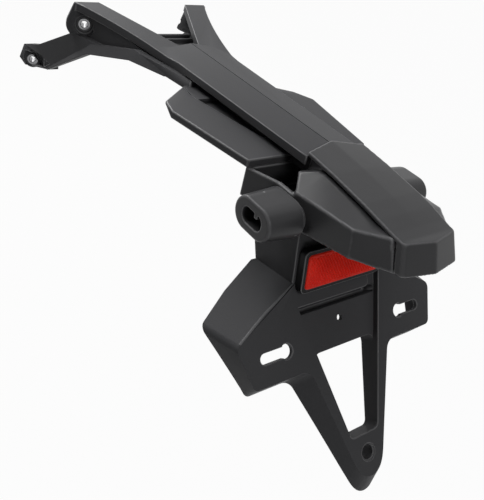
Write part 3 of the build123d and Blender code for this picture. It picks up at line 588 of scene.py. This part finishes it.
def makePrismTree():
    tree = bpy.data.node_groups.new("lensPrisms", "GeometryNodeTree")
    face = tree.interface
    face.new_socket("Geometry", in_out="INPUT", socket_type="NodeSocketGeometry")
    for name in ("Pitch", "Height", "Half Width", "Half Height", "Turn"):
        face.new_socket(name, in_out="INPUT", socket_type="NodeSocketFloat")
    face.new_socket("Material", in_out="INPUT", socket_type="NodeSocketMaterial")
    face.new_socket("Geometry", in_out="OUTPUT", socket_type="NodeSocketGeometry")
    inlet = tree.nodes.new("NodeGroupInput")
    outlet = tree.nodes.new("NodeGroupOutput")
    links = tree.links
    pitch = inlet.outputs["Pitch"]
    span = mathNode(tree, "MULTIPLY", inlet.outputs["Half Width"], lensPrisms["gridSpan"])
    count = mathNode(tree, "CEIL", mathNode(tree, "DIVIDE", span, pitch))
    extent = mathNode(tree, "MULTIPLY", count, pitch)
    rows = mathNode(tree, "ADD", count, 1.0)
    grid = tree.nodes.new("GeometryNodeMeshGrid")
    for name in ("Size X", "Size Y"):
        links.new(extent, grid.inputs[name])
    for name in ("Vertices X", "Vertices Y"):
        links.new(rows, grid.inputs[name])
    turnGrid = tree.nodes.new("GeometryNodeTransform")
    angles = tree.nodes.new("ShaderNodeCombineXYZ")
    links.new(inlet.outputs["Turn"], angles.inputs["Z"])
    links.new(grid.outputs["Mesh"], turnGrid.inputs["Geometry"])
    links.new(angles.outputs["Vector"], turnGrid.inputs["Rotation"])
    place = tree.nodes.new("GeometryNodeInputPosition")
    parts = tree.nodes.new("ShaderNodeSeparateXYZ")
    links.new(place.outputs["Position"], parts.inputs["Vector"])
    awayX = mathNode(tree, "ABSOLUTE", parts.outputs["X"])
    awayY = mathNode(tree, "ABSOLUTE", parts.outputs["Y"])
    outX = mathNode(tree, "GREATER_THAN", awayX, inlet.outputs["Half Width"])
    outY = mathNode(tree, "GREATER_THAN", awayY, inlet.outputs["Half Height"])
    trim = addNode(tree, "GeometryNodeDeleteGeometry", domain="POINT")
    links.new(turnGrid.outputs["Geometry"], trim.inputs["Geometry"])
    links.new(mathNode(tree, "MAXIMUM", outX, outY), trim.inputs["Selection"])
    prism = addNode(tree, "GeometryNodeMeshCone", fill_type="NONE")
    prism.inputs["Vertices"].default_value = lensPrisms["sides"]
    prism.inputs["Radius Top"].default_value = 0.0
    radius = mathNode(tree, "MULTIPLY", pitch, lensPrisms["radiusShare"])
    links.new(radius, prism.inputs["Radius Bottom"])
    links.new(inlet.outputs["Height"], prism.inputs["Depth"])
    spread = tree.nodes.new("GeometryNodeInstanceOnPoints")
    square = mathNode(tree, "ADD", inlet.outputs["Turn"], lensPrisms["squareTurn"])
    squareAngles = tree.nodes.new("ShaderNodeCombineXYZ")
    links.new(square, squareAngles.inputs["Z"])
    links.new(trim.outputs["Geometry"], spread.inputs["Points"])
    links.new(prism.outputs["Mesh"], spread.inputs["Instance"])
    links.new(squareAngles.outputs["Vector"], spread.inputs["Rotation"])
    real = tree.nodes.new("GeometryNodeRealizeInstances")
    finish = tree.nodes.new("GeometryNodeSetMaterial")
    links.new(spread.outputs["Instances"], real.inputs["Geometry"])
    links.new(real.outputs["Geometry"], finish.inputs["Geometry"])
    links.new(inlet.outputs["Material"], finish.inputs["Material"])
    links.new(finish.outputs["Geometry"], outlet.inputs["Geometry"])
    return tree


def makeLensPrisms():
    tree = makePrismTree()
    draft = bpy.data.objects.new("prismDraft", bpy.data.meshes.new("prismDraft"))
    bpy.context.collection.objects.link(draft)
    grower = draft.modifiers.new("prisms", "NODES")
    grower.node_group = tree
    values = {
        "Pitch": lensPrisms["pitch"],
        "Height": lensPrisms["height"],
        "Half Width": lensPrisms["halfWidth"],
        "Half Height": lensPrisms["halfHeight"],
        "Turn": lensPrisms["turn"],
        "Material": lensMaterial,
    }
    for item in tree.interface.items_tree:
        if item.in_out == "INPUT" and item.name in values:
            grower[item.identifier] = values[item.name]
    graph = bpy.context.evaluated_depsgraph_get()
    mesh = bpy.data.meshes.new_from_object(draft.evaluated_get(graph))
    bpy.data.objects.remove(draft)
    mesh.name = "lensPrisms"
    low = min(vert.co.z for vert in mesh.vertices)
    seat = Matrix.Translation(lensPrisms["middle"]) @ Matrix.Rotation(lensPrisms["lean"], 4, "X")
    mesh.transform(seat @ Matrix.Translation((0.0, 0.0, -low - lensPrisms["sunk"])))
    piece = bpy.data.objects.new("lensPrisms", mesh)
    bpy.context.collection.objects.link(piece)
    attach(piece, "root")
    print("lens prisms:", len(mesh.polygons), "faces")


makeLensPrisms()


studio = {
    "floorZ": -0.32,
    "floorSize": 12.0,
    "floorTone": (0.36, 0.36, 0.36),
    "floorRough": 0.9,
    "floorGlow": 0.965,     # share of white in the floor where it is seen
    "skyStrength": 0.02,
    "camera": (-0.28684, -0.18920, 0.26796),
    "turn": (55.056, -11.641, -35.038),
    "lens": 46.08,
    "sensor": 36.0,
    "clipStart": 0.01,
}


# 1 for the rays that show the white surroundings, 0 for those that light the object
def seenRays(tree):
    path = tree.nodes.new("ShaderNodeLightPath")
    seen = mathNode(tree, "MAXIMUM", path.outputs["Is Camera Ray"], path.outputs["Is Glossy Ray"])
    return mathNode(tree, "MAXIMUM", seen, path.outputs["Is Transmission Ray"])


def makeFloor():
    size = studio["floorSize"]
    mesh = bpy.data.meshes.new("studioFloor")
    corners = [(-size, -size), (size, -size), (size, size), (-size, size)]
    mesh.from_pydata([(x, y, studio["floorZ"]) for x, y in corners], [], [(0, 1, 2, 3)])
    floor = bpy.data.objects.new("studioFloor", mesh)
    bpy.context.collection.objects.link(floor)
    material = bpy.data.materials.new("paleFloor")
    material.use_nodes = True
    tree = material.node_tree
    shader = tree.nodes["Principled BSDF"]
    shader.inputs["Base Color"].default_value = (*studio["floorTone"], 1.0)
    shader.inputs["Roughness"].default_value = studio["floorRough"]
    glow = addNode(tree, "ShaderNodeEmission")
    glow.inputs["Color"].default_value = (1.0, 1.0, 1.0, 1.0)
    blend = mathNode(tree, "MULTIPLY", seenRays(tree), studio["floorGlow"])
    mix = tree.nodes.new("ShaderNodeMixShader")
    tree.links.new(blend, mix.inputs[0])
    tree.links.new(shader.outputs[0], mix.inputs[1])
    tree.links.new(glow.outputs[0], mix.inputs[2])
    tree.links.new(mix.outputs[0], tree.nodes["Material Output"].inputs["Surface"])
    mesh.materials.append(material)


def makeSky():
    world = bpy.data.worlds.new("studioSky")
    bpy.context.scene.world = world
    world.use_nodes = True
    tree = world.node_tree
    back = tree.nodes["Background"]
    back.inputs["Color"].default_value = (1.0, 1.0, 1.0, 1.0)
    low = studio["skyStrength"]
    strength = mathNode(tree, "MULTIPLY", seenRays(tree), 1.0 - low)
    tree.links.new(mathNode(tree, "ADD", strength, low), back.inputs["Strength"])


softboxes = {
    "overheadSoftbox": {
        "at": (0.10, 0.10, 1.10),
        "aim": (0.0, 0.10, 0.05),
        "size": (0.9, 1.1),
        "power": 3.2,
    },
    "rearSoftbox": {
        "at": (-0.15, -0.90, 0.75),
        "aim": (0.0, 0.0, 0.05),
        "size": (0.40, 0.25),
        "power": 2.4,
    },
    "lowSoftbox": {
        "at": (-0.14, -0.62, -0.20),
        "aim": (0.0, 0.0, 0.06),
        "size": (0.16, 0.12),
        "power": 0.45,
    },
    "leftSoftbox": {
        "at": (-0.35, 0.75, 0.95),
        "aim": (0.0, 0.05, 0.05),
        "size": (0.6, 0.5),
        "power": 5.6,
    },
    "farSoftbox": {
        "at": (0.10, 1.30, 0.75),
        "aim": (0.0, 0.10, 0.08),
        "size": (0.8, 0.5),
        "power": 6.5,
    },
}


def makeLamps():
    for name, settings in softboxes.items():
        data = bpy.data.lights.new(name, "AREA")
        data.shape = "RECTANGLE"
        data.size, data.size_y = settings["size"]
        data.energy = settings["power"]
        lamp = bpy.data.objects.new(name, data)
        bpy.context.collection.objects.link(lamp)
        lamp.location = settings["at"]
        aim = Vector(settings["aim"]) - Vector(settings["at"])
        lamp.rotation_euler = aim.to_track_quat("-Z", "Y").to_euler()


def makeCamera():
    data = bpy.data.cameras.new("photoCamera")
    data.sensor_fit = "VERTICAL"
    data.sensor_height = studio["sensor"]
    data.lens = studio["lens"]
    data.clip_start = studio["clipStart"]
    camera = bpy.data.objects.new("photoCamera", data)
    bpy.context.collection.objects.link(camera)
    camera.location = studio["camera"]
    camera.rotation_euler = [math.radians(angle) for angle in studio["turn"]]
    bpy.context.scene.camera = camera


makeFloor()
makeSky()
makeLamps()
makeCamera()
bpy.context.scene.view_settings.view_transform = "Standard"
print("studio set")
